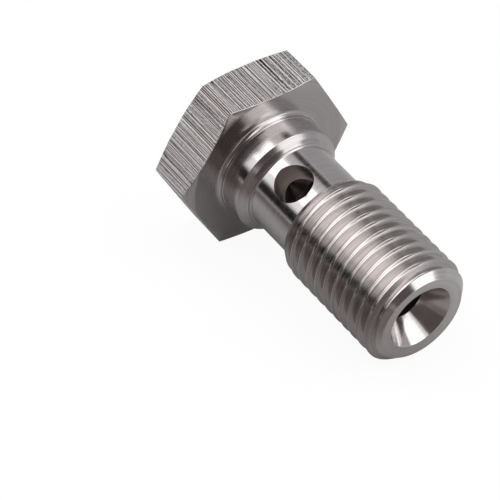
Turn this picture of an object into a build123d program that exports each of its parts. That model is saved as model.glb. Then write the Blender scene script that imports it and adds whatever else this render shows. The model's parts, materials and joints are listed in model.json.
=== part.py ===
from build123d import *
import math
import os

# A banjo bolt: a hollow bolt that clamps a ring fitting under its head, and lets the fluid from the fitting
# run in through its cross hole and out of its threaded end. It is one piece, turned from stainless steel
# hexagon bar.
#
# Lengths are in millimetres and angles in degrees. The bolt is made upright, with its axis on Z: 0 is the
# bearing face under the head, the threaded end is above it and the head below it. It is then laid down as it
# comes to rest on a table, on the edge of one flat of its head and on the last crest of its thread.

# Head
HEX_ACROSS_FLATS = 14.15
HEAD_HEIGHT = 4.33
OUTER_FACE_DIAMETER = 14.3
OUTER_CHAMFER_ANGLE = 16.0
BEARING_FACE_DIAMETER = 14.3
BEARING_CHAMFER_ANGLE = 15.0

# Shank, its lengths from the bearing face: the collar, its two bevels, and the neck
UNDER_HEAD_LENGTH = 20.08
HEAD_FILLET = 0.38
COLLAR_DIAMETER = 9.6
COLLAR_END = 2.46
FIRST_BEVEL_DIAMETER = 8.8
FIRST_BEVEL_END = 2.81
SECOND_BEVEL_DIAMETER = 8.3
SECOND_BEVEL_END = 3.08
NECK_FILLET = 0.215
NECK_DIAMETER = 7.87

# External thread, 3/8 inch UNF: 24 turns to the inch, right hand, 60 degrees between its flanks. It starts on
# a cone, and its tip is chamfered at 45 degrees around a slightly dished end face.
THREAD_DIAMETER = 9.44
THREAD_PITCH = 25.4 / 24
THREAD_DEPTH = 0.613 * THREAD_PITCH
THREAD_CREST = THREAD_PITCH / 8
THREAD_FLANK_ANGLE = 30.0
THREAD_START = 8.1
THREAD_START_DIAMETER = 8.54
THREAD_START_CONE = 0.85
LAST_CREST_BELOW = 19.3
TIP_FACE_DIAMETER = 7.66
TIP_DISH = 0.11

# Fluid passage: the bore along the axis, its countersink, and the hole across the neck, in line with a corner
# of the head
BORE_DIAMETER = 3.32
BORE_DEPTH = 16.5
DRILL_POINT_ANGLE = 118.0
COUNTERSINK_DIAMETER = 5.72
COUNTERSINK_ANGLE = 60.0
CROSS_HOLE_DIAMETER = 3.3
CROSS_HOLE_FROM_HEAD = 5.62
CROSS_HOLE_TURN = 120.0

# Cutters pass the surfaces that they cut by this much
OVERRUN = 1.0

HEX_RADIUS = HEX_ACROSS_FLATS / 2
CORNER_RADIUS = HEX_ACROSS_FLATS / math.sqrt(3)
COLLAR_RADIUS = COLLAR_DIAMETER / 2
NECK_RADIUS = NECK_DIAMETER / 2
THREAD_RADIUS = THREAD_DIAMETER / 2
TIP_RADIUS = TIP_FACE_DIAMETER / 2
UPWARD = (Align.CENTER, Align.CENTER, Align.MIN)


def turned(outline):
    """A solid of revolution about Z from its closed outline, drawn as (radius, height)."""
    return revolve(make_face(Plane.XZ * outline), Axis.Z)


def head():
    """The hexagon, with its six corners turned off at the outer face and at the bearing face."""
    bar = extrude(RegularPolygon(HEX_RADIUS, 6, major_radius=False), -HEAD_HEIGHT)
    reach = CORNER_RADIUS + OVERRUN
    bearing_radius = BEARING_FACE_DIAMETER / 2
    outer_radius = OUTER_FACE_DIAMETER / 2
    bearing_drop = (reach - bearing_radius) * math.tan(math.radians(BEARING_CHAMFER_ANGLE))
    outer_drop = (reach - outer_radius) * math.tan(math.radians(OUTER_CHAMFER_ANGLE))
    return bar & turned(Polyline(
        (0, 0), (bearing_radius, 0), (reach, -bearing_drop),
        (reach, outer_drop - HEAD_HEIGHT), (outer_radius, -HEAD_HEIGHT), (0, -HEAD_HEIGHT), close=True,
    ))


def collar_and_neck():
    """The collar that centres the ring fitting, its bevels, and the slim neck up to the thread."""
    root = -HEAD_HEIGHT / 2
    seat_arc = CenterArc((COLLAR_RADIUS + HEAD_FILLET, HEAD_FILLET), HEAD_FILLET, 270, -90)
    first_bevel = (FIRST_BEVEL_DIAMETER / 2, FIRST_BEVEL_END)
    second_bevel = (SECOND_BEVEL_DIAMETER / 2, SECOND_BEVEL_END)
    neck_arc = TangentArc((NECK_RADIUS, SECOND_BEVEL_END + NECK_FILLET), second_bevel, tangent=(0, -1))
    return turned(Curve() + [
        Polyline((0, root), (COLLAR_RADIUS + HEAD_FILLET, root), seat_arc @ 0),
        seat_arc,
        Polyline(seat_arc @ 1, (COLLAR_RADIUS, COLLAR_END), first_bevel, second_bevel),
        neck_arc,
        Polyline(neck_arc @ 0, (NECK_RADIUS, THREAD_START), (0, THREAD_START), (0, root)),
    ])


def thread_groove(lowest, highest):
    """The V groove between the crests, swept along its helix past both ends of the thread."""
    slope = math.tan(math.radians(THREAD_FLANK_ANGLE))
    root_radius = THREAD_RADIUS - THREAD_DEPTH
    overcut = THREAD_CREST / 2
    half_root = (THREAD_PITCH - THREAD_CREST) / 2 - THREAD_DEPTH * slope
    half_mouth = half_root + (THREAD_DEPTH + overcut) * slope
    path = Helix(THREAD_PITCH, highest - lowest, THREAD_RADIUS, center=(0, 0, lowest))
    section = Polyline(
        (root_radius, lowest - half_root), (THREAD_RADIUS + overcut, lowest - half_mouth),
        (THREAD_RADIUS + overcut, lowest + half_mouth), (root_radius, lowest + half_root), close=True,
    )
    return sweep(make_face(Plane.XZ * section), path=path, is_frenet=True)


def thread():
    """The threaded length: a grooved bar, trimmed to the cone at its start and to the chamfer at its tip."""
    # The helix starts a quarter turn past the bottom of the lying bolt, and half a pitch from the crest there
    groove_height = LAST_CREST_BELOW + THREAD_PITCH * (1 / 4 - 1 / 2)
    beyond = 2 * THREAD_PITCH
    turns = math.ceil((groove_height - THREAD_START + beyond) / THREAD_PITCH)
    lowest = groove_height - turns * THREAD_PITCH
    highest = UNDER_HEAD_LENGTH + beyond
    bar = Pos(0, 0, lowest - beyond) * Cylinder(THREAD_RADIUS, highest - lowest + 2 * beyond, align=UPWARD)
    grooved = bar - thread_groove(lowest, highest)
    return grooved & turned(Polyline(
        (0, THREAD_START), (THREAD_START_DIAMETER / 2, THREAD_START),
        (THREAD_RADIUS, THREAD_START + THREAD_START_CONE),
        (THREAD_RADIUS, UNDER_HEAD_LENGTH - (THREAD_RADIUS - TIP_RADIUS)),
        (TIP_RADIUS, UNDER_HEAD_LENGTH), (0, UNDER_HEAD_LENGTH), close=True,
    ))


def fluid_passage():
    """The blind axial bore with its drill point, countersink and dished mouth, and the cross hole into it."""
    bore_radius = BORE_DIAMETER / 2
    sink_radius = COUNTERSINK_DIAMETER / 2
    sink_slope = math.tan(math.radians(COUNTERSINK_ANGLE / 2))
    sink_depth = (sink_radius - bore_radius) / sink_slope
    point_length = bore_radius / math.tan(math.radians(DRILL_POINT_ANGLE / 2))
    bottom = UNDER_HEAD_LENGTH - BORE_DEPTH
    sink_rim = UNDER_HEAD_LENGTH - TIP_DISH
    dish_slope = TIP_DISH / (TIP_RADIUS - sink_radius)
    mouth = UNDER_HEAD_LENGTH + OVERRUN * dish_slope
    axial = turned(Polyline(
        (0, bottom - point_length), (bore_radius, bottom), (bore_radius, sink_rim - sink_depth),
        (sink_radius, sink_rim), (TIP_RADIUS + OVERRUN, mouth), (0, mouth), close=True,
    ))
    turn = math.radians(CROSS_HOLE_TURN)
    hole_line = Plane(origin=(0, 0, CROSS_HOLE_FROM_HEAD), z_dir=(math.cos(turn), math.sin(turn), 0))
    across = hole_line * Cylinder(CROSS_HOLE_DIAMETER / 2, NECK_DIAMETER + 2 * OVERRUN)
    return axial + across


def laid_down(bolt):
    """The bolt at rest on the table, its thread towards +X and its bounding box centred over the origin."""
    # The last crest lies within the 45 degree chamfer, so it touches at its edge nearer the head
    contact = LAST_CREST_BELOW - THREAD_CREST / 2
    contact_radius = TIP_RADIUS + UNDER_HEAD_LENGTH - contact
    tilt = math.atan((HEX_RADIUS - contact_radius) / contact)
    resting = Plane(origin=(0, 0, 0), x_dir=(0, 1, 0), z_dir=(math.cos(tilt), 0, -math.sin(tilt)))
    lying = resting.location * bolt
    box = lying.bounding_box()
    return Pos(-box.center().X, -box.center().Y, -box.min.Z) * lying


banjo_bolt = laid_down(head() + collar_and_neck() + thread() - fluid_passage())
banjo_bolt.label = "banjo_bolt"

os.makedirs("parts", exist_ok=True)
export_step(banjo_bolt, "parts/banjo_bolt.step")
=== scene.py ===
"""A stainless steel banjo bolt, lying on a white table under soft studio light.

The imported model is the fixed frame. The bolt is modelled about its own axis in millimetres, x from the bearing
face under the head towards the threaded end, and is then laid where the frame says.
"""

import json
import logging
import math
from dataclasses import dataclass, field
from enum import Enum

import bmesh
import bpy
from mathutils import Matrix, Vector

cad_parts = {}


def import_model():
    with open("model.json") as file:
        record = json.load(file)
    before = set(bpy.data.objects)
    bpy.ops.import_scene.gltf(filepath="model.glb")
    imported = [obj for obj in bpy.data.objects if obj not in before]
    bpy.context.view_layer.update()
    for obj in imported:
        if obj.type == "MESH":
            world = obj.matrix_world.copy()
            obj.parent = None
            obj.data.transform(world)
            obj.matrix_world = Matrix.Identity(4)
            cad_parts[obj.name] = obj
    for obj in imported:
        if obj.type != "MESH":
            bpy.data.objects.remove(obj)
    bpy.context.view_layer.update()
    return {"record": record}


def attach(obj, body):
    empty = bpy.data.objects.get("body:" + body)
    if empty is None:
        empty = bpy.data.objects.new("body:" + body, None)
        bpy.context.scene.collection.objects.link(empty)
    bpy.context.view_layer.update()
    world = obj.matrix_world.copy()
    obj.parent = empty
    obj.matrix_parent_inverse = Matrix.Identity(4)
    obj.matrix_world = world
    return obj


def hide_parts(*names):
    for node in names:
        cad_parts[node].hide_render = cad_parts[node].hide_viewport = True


LOG = logging.getLogger("banjo_bolt")
MM = 0.001
AXIS = Vector((1.0, 0.0, 0.0))
TURN = 2.0 * math.pi
HEX_SIDES = 6

# Millimetres in the bolt's own frame: points this close are one point, lie on a plane or lie on the axis
WELD = 1e-5
ON_PLANE = 1e-6
ON_AXIS = 1e-4

UV_NAME = "tool_path"

# A mark on a turned surface runs all the way round it. Its v is counted in turns, so this has no end or seam
WHOLE_RING = 1e3


class Finish(Enum):
    """How each surface of the bolt was made. The value is its place in the mesh's material slots."""

    DRAWN = 0
    FACED = 1
    POLISHED = 2
    THREADED = 3
    TIP = 4
    DRILLED = 5
    BORED = 6


@dataclass(frozen=True)
class Corner:
    """A corner of a turned outline: its place along the axis, its radius, and how much it is rounded."""

    along: float
    radius: float
    rounding: float = 0.0
    finish: Finish = Finish.FACED


@dataclass(frozen=True)
class BoltAxis:
    """Where the bolt's own axes lie in the row frame."""

    bearing: Vector
    along: Vector

    @classmethod
    def from_record(cls, record: dict) -> "BoltAxis":
        """Read the axis from the record's collar, and the bearing face from its head seat.

        Args:
            record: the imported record.

        Returns:
            The bolt's axes.
        """
        mounts = {mount["name"]: mount for mount in record["mounts"]}
        along = Vector(mounts["collar"]["axis"]).normalized()
        collar, seat = Vector(mounts["collar"]["pos_m"]), Vector(mounts["head_seat"]["pos_m"])
        return cls(collar - along * (collar - seat).dot(along), along)

    def to_row(self) -> Matrix:
        """Give the transform from millimetres about the bolt's axis to metres in the row frame.

        Returns:
            The transform.
        """
        lateral = Vector((0.0, 1.0, 0.0))
        axes = Matrix((self.along, lateral, self.along.cross(lateral))).transposed().to_4x4()
        return Matrix.Translation(self.bearing) @ axes @ Matrix.Scale(MM, 4)


def rounded(corners: list[Corner], step: float = 18.0, guard: float = 0.02) -> list[Corner]:
    """Round an outline's corners with short arcs, and guard each straight run.

    Args:
        corners: the outline's corners, in order.
        step: the most degrees that one segment of an arc turns.
        guard: how far from a run's ends the points lie that keep its smooth shading straight.

    Returns:
        The outline's points. A corner's finish is that of the surface that leaves it.
    """
    # An arc that is a hair over a whole number of steps gets no further segment, and a short run gets no guard
    slack = 0.01
    shortest_guarded = 8.0 * guard
    points: list[Corner] = []
    for i, corner in enumerate(corners):
        if corner.rounding <= 0.0 or i in (0, len(corners) - 1):
            points.append(corner)
            continue
        here = Vector((corner.along, corner.radius))
        back = (Vector((corners[i - 1].along, corners[i - 1].radius)) - here).normalized()
        ahead = (Vector((corners[i + 1].along, corners[i + 1].radius)) - here).normalized()
        half = back.angle(ahead) / 2.0
        centre = here + (back + ahead).normalized() * corner.rounding / math.sin(half)
        start = here + back * corner.rounding / math.tan(half) - centre
        turn = math.pi - 2.0 * half
        if start.x * ahead.y - start.y * ahead.x < 0.0:
            turn = -turn
        count = max(2, math.ceil(abs(math.degrees(turn)) / step - slack))
        for k in range(count + 1):
            a = turn * k / count
            spoke = Vector((start.x * math.cos(a) - start.y * math.sin(a),
                            start.x * math.sin(a) + start.y * math.cos(a)))
            finish = corner.finish if 2 * k >= count else corners[i - 1].finish
            points.append(Corner(centre.x + spoke.x, centre.y + spoke.y, 0.0, finish))
    guarded: list[Corner] = []
    for start, end in zip(points, points[1:]):
        guarded.append(start)
        run = Vector((end.along - start.along, end.radius - start.radius))
        if run.length > shortest_guarded:
            for share in (guard / run.length, 1.0 - guard / run.length):
                guarded.append(Corner(start.along + run.x * share, start.radius + run.y * share, 0.0, start.finish))
    return guarded + points[-1:]


def draw_outline(bm: bmesh.types.BMesh, points: list[Corner]) -> list[bmesh.types.BMEdge]:
    """Draw an outline as edges in the plane of x and y, ready to be spun about x."""
    verts = [bm.verts.new((p.along, p.radius, 0.0)) for p in points]
    return [bm.edges.new(pair) for pair in zip(verts, verts[1:])]


def distance_to_run(spot: Vector, start: Vector, end: Vector) -> float:
    """Measure how far a point is from a straight run between two others.

    Args:
        spot: the point.
        start: where the run starts.
        end: where it ends.

    Returns:
        The distance, in the unit of the points.
    """
    run = end - start
    no_length = 1e-12
    share = min(max((spot - start).dot(run) / max(run.length_squared, no_length), 0.0), 1.0)
    return (spot - start - run * share).length


def turned(corners: list[Corner], segments: int) -> bmesh.types.BMesh:
    """Turn a closed body from its outline, which starts and ends on the axis.

    Args:
        corners: the outline's corners, with their rounding and finish.
        segments: how many segments go round the body.

    Returns:
        The body, with its faces pointing outwards and each in the finish of the run that made it.
    """
    bm = bmesh.new()
    points = rounded(corners)
    edges = draw_outline(bm, points)
    bmesh.ops.spin(bm, geom=edges, cent=(0, 0, 0), axis=AXIS, angle=TURN, steps=segments, use_merge=True)
    bmesh.ops.remove_doubles(bm, verts=bm.verts[:], dist=WELD)
    finishes = [(Vector((a.along, a.radius)), Vector((b.along, b.radius)), a.finish)
                for a, b in zip(points, points[1:])]
    # All faces of one ring lie at the same place on the outline, so each ring is looked up once
    known: dict[tuple[float, float], int] = {}
    for face in bm.faces:
        middle = face.calc_center_median()
        spot = Vector((middle.x, math.hypot(middle.y, middle.z)))
        ring = (round(spot.x, 3), round(spot.y, 3))
        if ring not in known:
            known[ring] = min(finishes, key=lambda item: distance_to_run(spot, item[0], item[1]))[2].value
        face.material_index = known[ring]
    bmesh.ops.recalc_face_normals(bm, faces=bm.faces[:])
    return bm


def cut_off(bm: bmesh.types.BMesh, point: Vector, outward: Vector) -> list[bmesh.types.BMFace]:
    """Cut a closed body off at a plane, and close it again.

    Args:
        bm: the body.
        point: a point on the plane.
        outward: the plane's direction, towards the side that falls off.

    Returns:
        The new face or faces in the plane.
    """
    result = bmesh.ops.bisect_plane(bm, geom=bm.verts[:] + bm.edges[:] + bm.faces[:], dist=ON_PLANE,
                                    plane_co=point, plane_no=outward, clear_outer=True)
    rim = [item for item in result["geom_cut"] if isinstance(item, bmesh.types.BMEdge) and item.is_boundary]
    return bmesh.ops.edgenet_fill(bm, edges=rim)["faces"]


def body_object(bm: bmesh.types.BMesh, name: str, materials: list[bpy.types.Material]) -> bpy.types.Object:
    """Make an object from a mesh in progress.

    Args:
        bm: the mesh in progress, which is freed.
        name: the object's name.
        materials: one material for each finish, in the order of Finish.

    Returns:
        The object, in the scene.
    """
    mesh = bpy.data.meshes.new(name)
    bm.to_mesh(mesh)
    bm.free()
    for material in materials:
        mesh.materials.append(material)
    piece = bpy.data.objects.new(name, mesh)
    bpy.context.scene.collection.objects.link(piece)
    return piece


def settle(piece: bpy.types.Object) -> None:
    """Apply an object's modifiers to its mesh.

    Args:
        piece: the object.
    """
    settled = bpy.data.meshes.new_from_object(piece.evaluated_get(bpy.context.evaluated_depsgraph_get()))
    piece.modifiers.clear()
    piece.data = settled


class Join(Enum):
    """How one closed body changes another."""

    ADD = "UNION"
    CUT = "DIFFERENCE"
    TRIM = "INTERSECT"


def combine(work: bpy.types.Object, tool: bpy.types.Object, how: Join) -> None:
    """Change a closed body by another, and drop the second.

    Args:
        work: the body that is changed.
        tool: the body that adds to it, cuts it or trims it.
        how: which of these it does.
    """
    modifier = work.modifiers.new(how.name.lower(), "BOOLEAN")
    modifier.operation = how.value
    modifier.solver = "MANIFOLD"
    modifier.object = tool
    settle(work)
    bpy.data.objects.remove(tool)


@dataclass
class Head:
    """The hexagon and the shank below it, up to where the thread is joined on. Sizes in millimetres.

    The rim ring is a narrow strip of each flat face, inside its edge. The flats cut only into that strip, so the
    broken edges don't bend the shading of the rest of the face. The collar's ring is a shallow step near the head.
    """

    across_flats: float = 14.15
    first_flat: float = 30.0
    height: float = 4.33
    face_radius: float = 7.15
    outer_chamfer: float = 16.0
    bearing_chamfer: float = 15.0
    reach: float = 8.6
    fillet: float = 0.38
    collar_radius: float = 4.8
    collar_end: float = 2.46
    collar_rounding: float = 0.06
    first_bevel: tuple[float, float] = (2.81, 4.4)
    first_bevel_rounding: float = 0.03
    second_bevel: tuple[float, float] = (3.08, 4.15)
    second_bevel_rounding: float = 0.02
    neck_radius: float = 3.935
    neck_fillet: float = 0.17
    join: float = 9.2
    ring_from: float = 0.46
    ring_to: float = 0.74
    ring_depth: float = 0.045
    ring_rounding: float = 0.03
    rim_ring: float = 0.2
    edge_break: float = 0.035
    edge_segments: int = 3
    segments: int = 192

    def outline(self) -> list[Corner]:
        """Draw the turned outline, from the middle of the outer face to the axis inside the thread.

        Returns:
            The outline's corners.
        """
        outer_drop = (self.reach - self.face_radius) * math.tan(math.radians(self.outer_chamfer))
        bearing_drop = (self.reach - self.face_radius) * math.tan(math.radians(self.bearing_chamfer))
        return [
            Corner(-self.height, 0.0),
            Corner(-self.height, self.face_radius - self.rim_ring),
            Corner(-self.height, self.face_radius),
            Corner(outer_drop - self.height, self.reach),
            Corner(-bearing_drop, self.reach),
            Corner(0.0, self.face_radius),
            Corner(0.0, self.face_radius - self.rim_ring),
            Corner(0.0, self.collar_radius, self.fillet, Finish.POLISHED),
            Corner(self.ring_from, self.collar_radius, self.ring_rounding, Finish.POLISHED),
            Corner(self.ring_from + self.ring_depth, self.collar_radius - self.ring_depth, self.ring_rounding,
                   Finish.POLISHED),
            Corner(self.ring_to, self.collar_radius, self.ring_rounding, Finish.POLISHED),
            Corner(self.collar_end, self.collar_radius, self.collar_rounding, Finish.POLISHED),
            Corner(*self.first_bevel, self.first_bevel_rounding, Finish.POLISHED),
            Corner(*self.second_bevel, self.second_bevel_rounding, Finish.POLISHED),
            Corner(self.second_bevel[0], self.neck_radius, self.neck_fillet, Finish.POLISHED),
            Corner(self.join, self.neck_radius, 0.0, Finish.THREADED),
            Corner(self.join, 0.0),
        ]

    def build(self) -> bmesh.types.BMesh:
        """Turn the body, then cut its six flats and break their edges.

        Returns:
            The head and shank, closed.
        """
        bm = turned(self.outline(), self.segments)
        drawn = Finish.DRAWN.value
        for side in range(HEX_SIDES):
            angle = math.radians(self.first_flat + 360.0 / HEX_SIDES * side)
            normal = Vector((0.0, math.cos(angle), math.sin(angle)))
            for face in cut_off(bm, normal * self.across_flats / 2.0, normal):
                face.material_index = drawn
        edges = [edge for edge in bm.edges if any(face.material_index == drawn for face in edge.link_faces)]
        bmesh.ops.bevel(bm, geom=edges, offset=self.edge_break, offset_type="OFFSET", affect="EDGES",
                        segments=self.edge_segments, profile=0.5, material=-1, clamp_overlap=False,
                        loop_slide=False)
        bmesh.ops.recalc_face_normals(bm, faces=bm.faces[:])
        return bm


@dataclass
class Thread:
    """The external thread, 24 turns to the inch, with its starting cone and its chamfered tip. Millimetres.

    A crest lies at crest_at where the helix has turned crest_turn degrees. One sixteenth of a turn is swept, and
    each doubling then copies what there is along the helix, up to the whole turn.
    """

    pitch: float = 25.4 / 24.0
    radius: float = 4.72
    depth: float = 0.649
    flank_angle: float = 30.0
    crest: float = 0.132
    crest_break: float = 0.02
    root_round: float = 0.05
    arc_step: float = 30.0
    crest_at: float = 10.375
    crest_turn: float = 113.9
    start: float = 8.1
    start_radius: float = 4.27
    start_cone: float = 0.85
    start_rounding: float = 0.06
    tip: float = 20.08
    tip_radius: float = 3.83
    tip_rounding: float = 0.05
    overrun: float = 0.5
    clearance: float = 0.005
    weld: float = 2e-3
    segments: int = 192
    doublings: int = 4

    def ridge(self) -> list[Corner]:
        """Draw the thread's outline at the angle zero, past both ends of the threaded length.

        Returns:
            The outline's corners, four to each turn.
        """
        first = (self.crest_at - self.pitch * self.crest_turn / 360.0) % self.pitch
        low = first + self.pitch * (math.floor((self.start - first) / self.pitch) - 2)
        count = math.ceil((self.tip - low) / self.pitch) + 2
        run = self.depth * math.tan(math.radians(self.flank_angle))
        root = self.radius - self.depth
        corners = []
        for turn in range(count):
            crest = low + turn * self.pitch
            corners += [
                Corner(crest - self.crest / 2.0 - run, root, self.root_round),
                Corner(crest - self.crest / 2.0, self.radius, self.crest_break),
                Corner(crest + self.crest / 2.0, self.radius, self.crest_break),
                Corner(crest + self.crest / 2.0 + run, root, self.root_round),
            ]
        return corners

    def grooved_bar(self) -> bmesh.types.BMesh:
        """Sweep the ridge along its helix, and close it with flat ends beyond the thread's length.

        Returns:
            The grooved bar, closed.
        """
        bm = bmesh.new()
        edges = draw_outline(bm, rounded(self.ridge(), self.arc_step))
        share = 1.0 / 2 ** self.doublings
        bmesh.ops.spin(bm, geom=edges, cent=(0, 0, 0), axis=AXIS, dvec=AXIS * self.pitch / self.segments,
                       angle=TURN * share, steps=round(self.segments * share), use_merge=False)
        while share < 1.0:
            copy = bmesh.ops.duplicate(bm, geom=bm.verts[:] + bm.edges[:] + bm.faces[:])
            moved = [item for item in copy["geom"] if isinstance(item, bmesh.types.BMVert)]
            bmesh.ops.rotate(bm, cent=(0, 0, 0), matrix=Matrix.Rotation(TURN * share, 3, "X"), verts=moved)
            bmesh.ops.translate(bm, vec=AXIS * self.pitch * share, verts=moved)
            share *= 2.0
        bmesh.ops.remove_doubles(bm, verts=bm.verts[:], dist=self.weld)
        cut_off(bm, AXIS * (self.start - self.overrun), -AXIS)
        cut_off(bm, AXIS * (self.tip + self.overrun), AXIS)
        bmesh.ops.recalc_face_normals(bm, faces=bm.faces[:])
        for face in bm.faces:
            face.material_index = Finish.THREADED.value
        return bm

    def limits(self) -> bmesh.types.BMesh:
        """Turn the body that trims the thread: its starting cone, its chamfered tip and its flat ends.

        Returns:
            The body, which clears the crests a little between the cone and the chamfer.
        """
        clear_radius = self.radius + self.clearance
        return turned([
            Corner(self.start, 0.0, 0.0, Finish.THREADED),
            Corner(self.start, self.start_radius, self.start_rounding, Finish.THREADED),
            Corner(self.start + self.start_cone, clear_radius, 0.0, Finish.THREADED),
            Corner(self.tip - (self.radius - self.tip_radius) - self.clearance, clear_radius, 0.0, Finish.TIP),
            Corner(self.tip, self.tip_radius, self.tip_rounding, Finish.TIP),
            Corner(self.tip, 0.0, 0.0, Finish.TIP),
        ], self.segments)


@dataclass
class Passage:
    """The way for the fluid: the bore, its countersink and dished mouth, and the cross hole. Millimetres.

    The flare is how the cross hole's rims are rounded, as shares of rim_break: how much wider the drill is, and
    how far below the neck's surface.
    """

    bore_radius: float = 1.66
    bottom: float = 3.58
    point_angle: float = 118.0
    throat_rounding: float = 0.05
    sink_radius: float = 2.86
    sink_angle: float = 60.0
    sink_rounding: float = 0.04
    tip: float = 20.08
    tip_radius: float = 3.83
    dish: float = 0.11
    cross_radius: float = 1.65
    cross_at: float = 5.62
    cross_turn: float = 120.0
    cross_reach: float = 5.0
    cross_segments: int = 96
    neck_radius: float = 3.935
    rim_break: float = 0.06
    flare: tuple[tuple[float, float], ...] = ((0.0, 1.0), (0.12, 0.5), (0.5, 0.12), (1.2, -0.2))
    overrun: float = 1.0
    segments: int = 192

    def bore(self) -> bmesh.types.BMesh:
        """Turn the tool that cuts the bore, its drill point, its countersink and the dished mouth.

        Returns:
            The tool.
        """
        rim = self.tip - self.dish
        sink_from = rim - (self.sink_radius - self.bore_radius) / math.tan(math.radians(self.sink_angle / 2.0))
        point = self.bottom - self.bore_radius / math.tan(math.radians(self.point_angle / 2.0))
        mouth = self.tip + self.overrun * self.dish / (self.tip_radius - self.sink_radius)
        return turned([
            Corner(point, 0.0, 0.0, Finish.BORED),
            Corner(self.bottom, self.bore_radius, 0.0, Finish.BORED),
            Corner(sink_from, self.bore_radius, self.throat_rounding, Finish.TIP),
            Corner(rim, self.sink_radius, self.sink_rounding, Finish.TIP),
            Corner(mouth, self.tip_radius + self.overrun, 0.0, Finish.TIP),
            Corner(mouth, 0.0),
        ], self.segments)

    def cross_hole(self) -> bmesh.types.BMesh:
        """Turn the drill across the neck, flared where it breaks out so that both rims come out rounded.

        Returns:
            The drill.
        """
        half = [Corner(self.neck_radius - drop * self.rim_break, self.cross_radius + wider * self.rim_break)
                for wider, drop in self.flare]
        half.append(Corner(self.cross_reach, half[-1].radius))
        mirrored = [Corner(-corner.along, corner.radius) for corner in reversed(half)]
        start, end = Corner(-self.cross_reach, 0.0), Corner(self.cross_reach, 0.0)
        bm = turned([start, *mirrored, *half, end], self.cross_segments)
        # The flare follows the neck's round surface. The drill's middle and its far ends stay as they are
        middle, far_end = 1.0, self.cross_reach - 0.1
        for vert in bm.verts:
            if middle < abs(vert.co.x) < far_end:
                saddle = math.sqrt(self.neck_radius ** 2 - vert.co.z ** 2) - self.neck_radius
                vert.co.x += math.copysign(saddle, vert.co.x)
        for face in bm.faces:
            face.material_index = Finish.DRILLED.value
        angle = math.radians(self.cross_turn)
        across = Vector((0.0, math.cos(angle), math.sin(angle)))
        side = Vector((0.0, -math.sin(angle), math.cos(angle)))
        turn = Matrix((across, -AXIS, side)).transposed()
        bmesh.ops.transform(bm, matrix=turn.to_4x4(), verts=bm.verts[:])
        bmesh.ops.translate(bm, vec=AXIS * self.cross_at, verts=bm.verts[:])
        bmesh.ops.recalc_face_normals(bm, faces=bm.faces[:])
        return bm


@dataclass
class BanjoBolt:
    """The whole bolt, in one piece of steel."""

    axis: BoltAxis
    head: Head = field(default_factory=Head)
    thread: Thread = field(default_factory=Thread)
    passage: Passage = field(default_factory=Passage)
    sharp_angle: float = 35.0
    face_weight: int = 50
    flat_spacing: float = 20.0

    def build(self, materials: list[bpy.types.Material]) -> bpy.types.Object:
        """Join the turned and threaded bodies, cut the passages, and lay the bolt where the frame says.

        Args:
            materials: one material for each finish, in the order of Finish.

        Returns:
            The finished piece.
        """
        bolt = body_object(self.head.build(), "bolt_body", materials)
        ridge = body_object(self.thread.grooved_bar(), "thread_bar", materials)
        combine(ridge, body_object(self.thread.limits(), "thread_limits", materials), Join.TRIM)
        combine(bolt, ridge, Join.ADD)
        combine(bolt, body_object(self.passage.bore(), "bore", materials), Join.CUT)
        combine(bolt, body_object(self.passage.cross_hole(), "cross_hole", materials), Join.CUT)
        self.unwrap(bolt.data)
        bolt.data.transform(self.axis.to_row())
        lowest = min(vert.co.z for vert in bolt.data.vertices)
        bolt.data.transform(Matrix.Translation((0.0, 0.0, -lowest)))
        bolt.data.shade_smooth()
        bolt.data.set_sharp_from_angle(angle=math.radians(self.sharp_angle))
        # Broad faces keep their own direction, and only the narrow roundings between them turn
        weigh = bolt.modifiers.new("face_weights", "WEIGHTED_NORMAL")
        weigh.mode, weigh.weight, weigh.keep_sharp = "FACE_AREA", self.face_weight, True
        settle(bolt)
        return bolt

    def unwrap(self, mesh: bpy.types.Mesh) -> None:
        """Give each face a UV map that follows the tool that made it.

        On turned surfaces u runs along the outline, in millimetres, and v goes once round the axis. On the flats
        u runs across the flat and v along the bar, both in millimetres, and each flat has its own part of the map.

        Args:
            mesh: the bolt's mesh, about its own axis.
        """
        layer = mesh.uv_layers.new(name=UV_NAME)
        for face in mesh.polygons:
            drawn = face.material_index == Finish.DRAWN.value
            normal_turn = math.atan2(face.normal.z, face.normal.y)
            offset = self.flat_spacing * round(normal_turn / (TURN / HEX_SIDES))
            around = math.atan2(face.center.z, face.center.y)
            for loop in face.loop_indices:
                co = mesh.vertices[mesh.loops[loop].vertex_index].co
                if drawn:
                    across = co.z * math.cos(normal_turn) - co.y * math.sin(normal_turn)
                    layer.data[loop].uv = (across + offset, co.x)
                    continue
                radius = math.hypot(co.y, co.z)
                angle = math.atan2(co.z, co.y) if radius > ON_AXIS else around
                angle += TURN * round((around - angle) / TURN)
                layer.data[loop].uv = (co.x - radius, angle / TURN)


def linear(colour: str) -> tuple[float, float, float, float]:
    """Turn a colour written as an sRGB hex value, such as 8E8B88, into linear light."""
    levels = [int(colour[i:i + 2], 16) / 255.0 for i in (0, 2, 4)]
    return tuple(v / 12.92 if v <= 0.04045 else ((v + 0.055) / 1.055) ** 2.4 for v in levels) + (1.0,)


def add_node(tree: bpy.types.NodeTree, kind: str, settings: dict | None = None,
             links: dict | None = None) -> bpy.types.Node:
    """Add a node with its settings and links.

    Args:
        tree: the node tree.
        kind: the node's type name.
        settings: values by name. A name of an input sets that input, and any other name sets the node itself.
        links: output sockets by the name or index of the input that each feeds.

    Returns:
        The node.
    """
    node = tree.nodes.new(kind)
    for name, value in (settings or {}).items():
        if isinstance(name, int) or (name in node.inputs and not hasattr(node, name)):
            node.inputs[name].default_value = value
        else:
            setattr(node, name, value)
    for name, socket in (links or {}).items():
        tree.links.new(socket, node.inputs[name])
    return node


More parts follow.
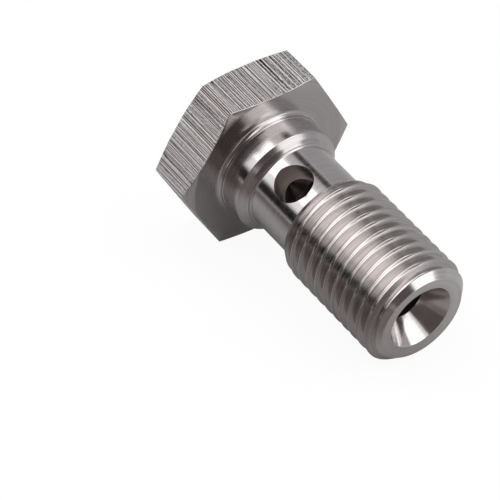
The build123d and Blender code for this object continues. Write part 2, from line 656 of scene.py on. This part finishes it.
def new_material(name: str) -> tuple[bpy.types.Material, bpy.types.NodeTree, bpy.types.Node]:
    """Start a material with nothing in it but its output.

    Args:
        name: the material's name.

    Returns:
        The material, its node tree and the output node.
    """
    material = bpy.data.materials.new(name)
    material.use_nodes = True
    tree = material.node_tree
    tree.nodes.clear()
    return material, tree, add_node(tree, "ShaderNodeOutputMaterial")


@dataclass(frozen=True)
class Marks:
    """Fine marks that a tool leaves, all lying the same way. Sizes in millimetres.

    The map's u runs across the marks and its v along them. Detail is how much finer noise lies on the marks.
    """

    width: float
    length: float
    depth: float
    detail: float = 3.0
    detail_strength: float = 0.6

    def noise(self, tree: bpy.types.NodeTree, path: bpy.types.NodeSocket) -> bpy.types.NodeSocket:
        """Draw noise out along the tool's path.

        Args:
            tree: the material's node tree.
            path: the UV map's output.

        Returns:
            The noise, from 0 to 1.
        """
        place = add_node(tree, "ShaderNodeMapping", {
            "Scale": (1.0 / self.width, 1.0 / self.length, 1.0),
        }, {"Vector": path})
        return add_node(tree, "ShaderNodeTexNoise", {
            "noise_dimensions": "2D", "Scale": 1.0, "Detail": self.detail, "Roughness": self.detail_strength,
        }, {"Vector": place.outputs[0]}).outputs["Fac"]


@dataclass(frozen=True)
class SteelFinish:
    """Stainless steel, with the finish that one way of working gives it. Sizes in millimetres.

    The colour goes from dark to light with the marks, over the span called contrast, so a small span is a strong
    contrast. Where dark and light lie far apart, as on the drawn bar, that mix is painted highlight and painted
    reflection. Speckle is the grain's share in that. Spread is how far the roughness strays from its middle, with
    the coarse marks and with smudges.
    """

    name: str
    light: str
    dark: str
    roughness: float
    spread: float
    anisotropy: float
    marks: Marks
    coarse: Marks
    grain: float
    grain_depth: float
    contrast: float = 0.6
    speckle: float = 0.0
    smudge: float = 3.0
    wear: tuple[float, float] = (0.6, 1.4)

    def build(self) -> bpy.types.Material:
        """Make the material: marks and grain drive its colour, its roughness and a shallow bump.

        Returns:
            The material.
        """
        material, tree, output = new_material(self.name)
        path = add_node(tree, "ShaderNodeUVMap", {"uv_map": UV_NAME}).outputs[0]
        place = add_node(tree, "ShaderNodeTexCoord").outputs["Object"]
        fine = self.marks.noise(tree, path)
        coarse = self.coarse.noise(tree, path)
        grain, smudge = (
            add_node(tree, "ShaderNodeTexNoise", {"Scale": 1.0 / (size * MM), "Detail": detail},
                     {"Vector": place}).outputs["Fac"]
            for size, detail in ((self.grain, 2.0), (self.smudge, 3.0)))
        shader = add_node(tree, "ShaderNodeBsdfPrincipled", {
            "Metallic": 1.0, "Anisotropic": self.anisotropy,
        }, {
            "Base Color": self.colour(tree, fine, coarse, grain),
            "Roughness": self.uneven_roughness(tree, coarse, smudge),
            "Normal": self.relief(tree, fine, coarse, grain),
            "Tangent": add_node(tree, "ShaderNodeTangent", {
                "direction_type": "UV_MAP", "uv_map": UV_NAME}).outputs[0],
        })
        tree.links.new(shader.outputs[0], output.inputs["Surface"])
        return material

    def colour(self, tree: bpy.types.NodeTree, fine: bpy.types.NodeSocket, coarse: bpy.types.NodeSocket,
               grain: bpy.types.NodeSocket) -> bpy.types.NodeSocket:
        """Mix the dark and the light steel by the marks and the grain.

        Args:
            tree: the material's node tree.
            fine: the fine marks.
            coarse: the coarse marks.
            grain: the grain.

        Returns:
            The colour.
        """
        both = add_node(tree, "ShaderNodeMath", {"operation": "ADD"}, {0: fine, 1: coarse})
        flecked = add_node(tree, "ShaderNodeMath", {"operation": "MULTIPLY_ADD", 1: self.speckle},
                           {0: grain, 2: both.outputs[0]})
        middle = 1.0 + self.speckle / 2.0
        shade = add_node(tree, "ShaderNodeMapRange", {
            "From Min": middle - self.contrast / 2.0, "From Max": middle + self.contrast / 2.0,
        }, {"Value": flecked.outputs[0]})
        mixed = add_node(tree, "ShaderNodeMix", {"data_type": "RGBA"}, {"Factor": shade.outputs[0]})
        for socket in mixed.inputs:
            if socket.type == "RGBA":
                socket.default_value = linear(self.dark if socket.name == "A" else self.light)
        return next(socket for socket in mixed.outputs if socket.type == "RGBA")

    def uneven_roughness(self, tree: bpy.types.NodeTree, coarse: bpy.types.NodeSocket,
                         smudge: bpy.types.NodeSocket) -> bpy.types.NodeSocket:
        """Let the roughness stray with the coarse marks and with smudges.

        Args:
            tree: the material's node tree.
            coarse: the coarse marks.
            smudge: the smudges.

        Returns:
            The roughness.
        """
        worn = add_node(tree, "ShaderNodeMath", {"operation": "ADD"}, {0: coarse, 1: smudge})
        return add_node(tree, "ShaderNodeMapRange", {
            "From Min": self.wear[0], "From Max": self.wear[1],
            "To Min": self.roughness - self.spread, "To Max": self.roughness + self.spread,
        }, {"Value": worn.outputs[0]}).outputs[0]

    def relief(self, tree: bpy.types.NodeTree, fine: bpy.types.NodeSocket, coarse: bpy.types.NodeSocket,
               grain: bpy.types.NodeSocket) -> bpy.types.NodeSocket:
        """Lay the marks' and the grain's shallow bumps over each other.

        Args:
            tree: the material's node tree.
            fine: the fine marks.
            coarse: the coarse marks.
            grain: the grain.

        Returns:
            The bumped normal.
        """
        bumped = None
        for height, depth in ((fine, self.marks.depth), (coarse, self.coarse.depth), (grain, self.grain_depth)):
            links = {"Height": height} if bumped is None else {"Height": height, "Normal": bumped}
            bumped = add_node(tree, "ShaderNodeBump", {"Strength": 1.0, "Distance": depth * MM}, links).outputs[0]
        return bumped


FINISHES = {
    # Hexagon bar drawn through a die: straight scratches along the bar, with a little fine grit between them, in a
    # shallow bump.
    # Their bright and dark lines and flecks in the colour are painted highlights and painted reflections. The real
    # ones are a few hundredths of a millimetre apart, and are drawn coarser so that they show
    Finish.DRAWN: SteelFinish(
        "stainless_steel_drawn_bar_painted_streaks", light="F0EBEB", dark="2C2828", roughness=0.43, spread=0.08, anisotropy=0.85,
        marks=Marks(0.062, 20.0, 0.0004, 0.0), coarse=Marks(0.088, 60.0, 0.0004, 0.0),
        grain=0.10, grain_depth=0.0003, contrast=0.21, speckle=0.95),
    # Faces turned square to the axis: close rings, and reflections that stretch across them
    Finish.FACED: SteelFinish(
        "stainless_steel_turned_face", light="C4BFBF", dark="B8B3B3", roughness=0.15, spread=0.03, anisotropy=0.5,
        marks=Marks(0.12, WHOLE_RING, 0.0002), coarse=Marks(0.3, WHOLE_RING, 0.0001, 1.0),
        grain=0.12, grain_depth=0.0003),
    # Collar and neck, turned and then polished: near a mirror, with faint rings and a fine speckle
    Finish.POLISHED: SteelFinish(
        "stainless_steel_polished", light="CAC5C5", dark="BEB9B9", roughness=0.17, spread=0.04, anisotropy=0.3,
        marks=Marks(0.12, WHOLE_RING, 0.0003), coarse=Marks(0.4, WHOLE_RING, 0.0003, 1.0),
        grain=0.14, grain_depth=0.0030),
    # Cut thread: the flanks are duller and a little brown, torn slightly along the helix
    Finish.THREADED: SteelFinish(
        "stainless_steel_cut_thread", light="CEC9C8", dark="AEA8A7", roughness=0.19, spread=0.05, anisotropy=0.3,
        marks=Marks(0.10, WHOLE_RING, 0.0006), coarse=Marks(0.3, WHOLE_RING, 0.0004, 1.0),
        grain=0.14, grain_depth=0.0024),
    # Tip, its chamfer and the countersink: turned bright with a fine feed
    Finish.TIP: SteelFinish(
        "stainless_steel_fine_turned", light="DCD7D7", dark="D0CBCB", roughness=0.16, spread=0.03, anisotropy=0.5,
        marks=Marks(0.10, WHOLE_RING, 0.0002), coarse=Marks(0.3, WHOLE_RING, 0.0002, 1.0),
        grain=0.14, grain_depth=0.0004),
    # Cross hole: rougher rings from the drill, on a wall whose colour is brighter than the steel, painted light that
    # lifts its lit part
    Finish.DRILLED: SteelFinish(
        "stainless_steel_drilled_painted_light", light="ECE0DB", dark="BEB4B0", roughness=0.32, spread=0.08, anisotropy=0.5,
        marks=Marks(0.12, WHOLE_RING, 0.0020), coarse=Marks(0.5, WHOLE_RING, 0.0020, 2.0),
        grain=0.14, grain_depth=0.0016),
    # Deep bore: drilled in steps and left dull, its colour darkened with painted shade so that it looks nearly black
    # from outside
    Finish.BORED: SteelFinish(
        "stainless_steel_deep_bore_painted_shade", light="8A8280", dark="5E5755", roughness=0.36, spread=0.08, anisotropy=0.4,
        marks=Marks(0.12, WHOLE_RING, 0.0020), coarse=Marks(0.5, WHOLE_RING, 0.0020, 2.0),
        grain=0.14, grain_depth=0.0016),
}


@dataclass(frozen=True)
class Camera:
    """The photograph's camera, fitted to the bolt's known outline. Metres, millimetres for the lens."""

    lens: float = 203.494
    sensor: float = 36.0
    nearest: float = 0.01
    farthest: float = 10.0
    place: tuple[float, float, float] = (0.13712033, -0.10437256, 0.14593418)
    right: tuple[float, float, float] = (0.58196865, 0.81318964, -0.00592418)
    down: tuple[float, float, float] = (0.51641792, -0.37518837, -0.76977024)
    ahead: tuple[float, float, float] = (-0.62819187, 0.4449228, -0.63829357)

    def build(self) -> bpy.types.Object:
        """Make the camera and look through it.

        Returns:
            The camera.
        """
        data = bpy.data.cameras.new("photo_camera")
        data.lens, data.sensor_width = self.lens, self.sensor
        data.clip_start, data.clip_end = self.nearest, self.farthest
        camera = bpy.data.objects.new("photo_camera", data)
        bpy.context.scene.collection.objects.link(camera)
        turn = Matrix((Vector(self.right), -Vector(self.down), -Vector(self.ahead))).transposed().to_4x4()
        camera.matrix_world = Matrix.Translation(self.place) @ turn
        bpy.context.scene.camera = camera
        return camera


def sheet(name: str, width: float, height: float) -> bpy.types.Object:
    """Make a flat rectangle that belongs to the studio, and not to the bolt.

    Args:
        name: the object's name.
        width: its size along x, in metres.
        height: its size along y, in metres.

    Returns:
        The rectangle, in the scene.
    """
    bm = bmesh.new()
    bmesh.ops.create_grid(bm, x_segments=1, y_segments=1, size=0.5, calc_uvs=False)
    bmesh.ops.scale(bm, vec=(width, height, 1.0), verts=bm.verts[:])
    mesh = bpy.data.meshes.new(name)
    bm.to_mesh(mesh)
    bm.free()
    flat = bpy.data.objects.new(name, mesh)
    bpy.context.scene.collection.objects.link(flat)
    return flat


class PanelKind(Enum):
    """What a studio panel is: a soft box that lights the bolt, or a board or a card that it mirrors.

    A box and a board stand and face the bolt. A card lies on the table, and is painted shadow: a dark sheet that
    only reflections see.
    """

    SOFT_BOX = "soft_box"
    BOARD = "board"
    CARD = "card"


@dataclass(frozen=True)
class Panel:
    """A flat rectangle in the studio. Its place is given by the direction in which the bolt sees it.

    Angles are in degrees and the distance in metres. Width and height are the angles that the panel spans. The
    level is a soft box's radiance, where 1 is white. The rim is how far a board's edge fades out. A card lies
    card_lift above the table.
    """

    name: str
    kind: PanelKind
    azimuth: float
    elevation: float
    width: float
    height: float
    distance: float
    level: float = 1.0
    colour: str = "FFFFFF"
    roll: float = 0.0
    rim: float = 8.0
    card_lift: float = 0.0004

    def matrix(self) -> Matrix:
        """Work out where the panel is.

        Returns:
            A transform whose own -Z points at the bolt, or for a card, whose own Y points away from it.
        """
        a, e = math.radians(self.azimuth), math.radians(self.elevation)
        if self.kind is PanelKind.CARD:
            place = Vector((math.cos(a) * self.distance, math.sin(a) * self.distance, self.card_lift))
            return Matrix.Translation(place) @ Matrix.Rotation(a - TURN / 4.0, 4, "Z")
        out = Vector((math.cos(a) * math.cos(e), math.sin(a) * math.cos(e), math.sin(e)))
        turn = out.to_track_quat("Z", "Y").to_matrix().to_4x4()
        return Matrix.Translation(out * self.distance) @ turn @ Matrix.Rotation(math.radians(self.roll), 4, "Z")

    def size(self) -> tuple[float, float]:
        """Give the panel's width and height, in metres."""
        return tuple(2.0 * self.distance * math.tan(math.radians(span / 2.0)) for span in (self.width, self.height))

    def build(self) -> bpy.types.Object:
        """Make the panel, as a lamp or as a sheet that the camera doesn't see.

        Returns:
            The panel.
        """
        if self.kind is PanelKind.SOFT_BOX:
            lamp = bpy.data.lights.new(self.name, "AREA")
            lamp.shape = "RECTANGLE"
            lamp.size, lamp.size_y = self.size()
            lamp.color = linear(self.colour)[:3]
            # A lamp's watts spread over its area and over half the sphere
            lamp.energy = self.level * math.pi * lamp.size * lamp.size_y
            panel = bpy.data.objects.new(self.name, lamp)
            bpy.context.scene.collection.objects.link(panel)
        else:
            panel = sheet(self.name, *self.size())
            panel.data.materials.append(self.paint())
        panel.matrix_world = self.matrix()
        panel.visible_camera = False
        # A card is painted shadow, seen in reflections only, so it casts no shadow and lights nothing
        if self.kind is PanelKind.CARD:
            panel.visible_shadow = panel.visible_diffuse = False
        return panel

    def paint(self) -> bpy.types.Material:
        """Make a matt cloth, shown at its own colour in any light, and thinning out towards its edges.

        Returns:
            The material.
        """
        material, tree, output = new_material(f"{self.name}_cloth")
        place = add_node(tree, "ShaderNodeTexCoord")
        split = add_node(tree, "ShaderNodeSeparateXYZ", {}, {0: place.outputs["Object"]})
        rim = self.distance * math.tan(math.radians(self.rim))
        fades = []
        for axis, size in zip("XY", self.size()):
            away = add_node(tree, "ShaderNodeMath", {"operation": "ABSOLUTE"}, {0: split.outputs[axis]})
            fades.append(add_node(tree, "ShaderNodeMapRange", {
                "interpolation_type": "SMOOTHSTEP", "From Min": size / 2.0 - rim, "From Max": size / 2.0,
                "To Min": 1.0, "To Max": 0.0,
            }, {"Value": away.outputs[0]}).outputs[0])
        cover = add_node(tree, "ShaderNodeMath", {"operation": "MULTIPLY"}, dict(enumerate(fades)))
        clear = add_node(tree, "ShaderNodeBsdfTransparent")
        glow = add_node(tree, "ShaderNodeEmission", {"Color": linear(self.colour)})
        mixed = add_node(tree, "ShaderNodeMixShader", {}, {0: cover.outputs[0], 1: clear.outputs[0],
                                                           2: glow.outputs[0]})
        tree.links.new(mixed.outputs[0], output.inputs["Surface"])
        return material


BOX, BOARD, CARD = PanelKind.SOFT_BOX, PanelKind.BOARD, PanelKind.CARD
STUDIO = (
    Panel("side_box", BOX, 27.0, 32.0, width=38.0, height=62.0, distance=0.50, level=0.6),
    Panel("high_box", BOX, 58.0, 52.0, width=28.0, height=36.0, distance=0.49, level=1.3),
    Panel("top_box", BOX, -135.0, 66.0, width=42.0, height=50.0, distance=0.50, level=1.3),
    Panel("rear_box", BOX, -126.0, 35.0, width=22.0, height=18.0, distance=0.50, level=0.35),
    Panel("camera_board", BOARD, -59.0, 26.0, width=70.0, height=72.0, distance=0.40, colour="5C5453", rim=10.0),
    Panel("upper_board", BOARD, -16.0, 25.0, width=46.0, height=46.0, distance=0.39, colour="5A5251", rim=7.0),
    Panel("rear_board", BOARD, -122.0, 11.0, width=50.0, height=26.0, distance=0.42, colour="201B1E", rim=6.0),
    Panel("edge_board", BOARD, 137.0, 53.0, width=32.0, height=19.0, distance=0.41, colour="241E1D", roll=-25.0,
          rim=6.0),
    Panel("grey_board", BOARD, 98.0, 20.0, width=96.0, height=66.0, distance=0.45, colour="B4B4B6"),
    Panel("roof_board", BOARD, 165.0, 56.0, width=26.0, height=34.0, distance=0.44, colour="D4D4D4"),
    # A dark card seen only in reflections: painted shadow of the bolt on the table at the camera's left
    Panel("painted_shadow_card", CARD, -58.0, 0.0, width=82.0, height=89.0, distance=0.13, colour="7A7170", rim=7.0),
)


@dataclass(frozen=True)
class Studio:
    """The white table, the room around it, and the panels.

    The fill is how much of the room's white lights matt surfaces. The white is the table's own brightness to the
    camera and in reflections, and the two shadows are the shares of real shading that it keeps in each.
    """

    table_size: float = 1.6
    table_colour: str = "C8C8C8"
    table_roughness: float = 0.8
    fill: float = 0.5
    white: float = 1.1
    shadow: float = 0.15
    mirrored_shadow: float = 0.95
    panels: tuple[Panel, ...] = STUDIO

    def build(self) -> list[bpy.types.Object]:
        """Set up the room's even light, the table and every panel.

        Returns:
            The table and the panels.
        """
        self.add_room()
        table = sheet("table", self.table_size, self.table_size)
        table.data.materials.append(self.table_top())
        return [table] + [panel.build() for panel in self.panels]

    def table_top(self) -> bpy.types.Material:
        """Make the table's laminate, which shows as white with a faint shadow on it.

        Returns:
            The material.
        """
        material, tree, output = new_material("white_laminate_table")
        shader = add_node(tree, "ShaderNodeBsdfPrincipled", {
            "Base Color": linear(self.table_colour), "Roughness": self.table_roughness})
        white = add_node(tree, "ShaderNodeEmission", {"Color": linear("FFFFFF"), "Strength": self.white})
        ray = add_node(tree, "ShaderNodeLightPath")
        seen = add_node(tree, "ShaderNodeMath", {"operation": "MULTIPLY", 1: 1.0 - self.shadow},
                        {0: ray.outputs["Is Camera Ray"]})
        mirrored = add_node(tree, "ShaderNodeMath", {"operation": "MULTIPLY", 1: 1.0 - self.mirrored_shadow},
                            {0: self.bounced_rays(tree)})
        share = add_node(tree, "ShaderNodeMath", {"operation": "MAXIMUM"},
                         {0: seen.outputs[0], 1: mirrored.outputs[0]})
        mixed = add_node(tree, "ShaderNodeMixShader", {}, {0: share.outputs[0], 1: shader.outputs[0],
                                                           2: white.outputs[0]})
        tree.links.new(mixed.outputs[0], output.inputs["Surface"])
        return material

    @staticmethod
    def bounced_rays(tree: bpy.types.NodeTree) -> bpy.types.NodeSocket:
        """Tell rays off metal or through glass from all others.

        Args:
            tree: the node tree.

        Returns:
            One for such a ray, and otherwise nothing.
        """
        ray = add_node(tree, "ShaderNodeLightPath")
        return add_node(tree, "ShaderNodeMath", {"operation": "MAXIMUM"}, {
            0: ray.outputs["Is Glossy Ray"], 1: ray.outputs["Is Transmission Ray"],
        }).outputs[0]

    def add_room(self) -> None:
        """Put a white room around the table, shown as white and lighting matt surfaces only in part."""
        world = bpy.data.worlds.new("white_room")
        world.use_nodes = True
        tree = world.node_tree
        tree.nodes.clear()
        ray = add_node(tree, "ShaderNodeLightPath")
        shown = add_node(tree, "ShaderNodeMath", {"operation": "MAXIMUM"},
                         {0: ray.outputs["Is Camera Ray"], 1: self.bounced_rays(tree)})
        level = add_node(tree, "ShaderNodeMapRange", {"To Min": self.fill, "To Max": 1.0},
                         {"Value": shown.outputs[0]})
        glow = add_node(tree, "ShaderNodeBackground", {"Color": linear("FFFFFF")}, {"Strength": level.outputs[0]})
        output = add_node(tree, "ShaderNodeOutputWorld")
        tree.links.new(glow.outputs[0], output.inputs["Surface"])
        bpy.context.scene.world = world


def main() -> None:
    """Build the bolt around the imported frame, then the studio and the camera."""
    logging.basicConfig(level=logging.INFO, format="%(message)s")
    bpy.context.scene.view_settings.view_transform = "Standard"
    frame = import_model()
    materials = [FINISHES[finish].build() for finish in Finish]
    bolt = BanjoBolt(BoltAxis.from_record(frame["record"])).build(materials)
    bolt.name = "banjo_bolt_steel"
    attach(bolt, "root")
    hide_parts("banjo_bolt")
    LOG.info("%s: %d faces in %d finishes", bolt.name, len(bolt.data.polygons), len(materials))
    for item in Studio().build():
        LOG.info("studio: %s", item.name)
    camera = Camera().build()
    LOG.info("%s: lens %.1f mm", camera.name, camera.data.lens)


if __name__ == "__main__":
    main()
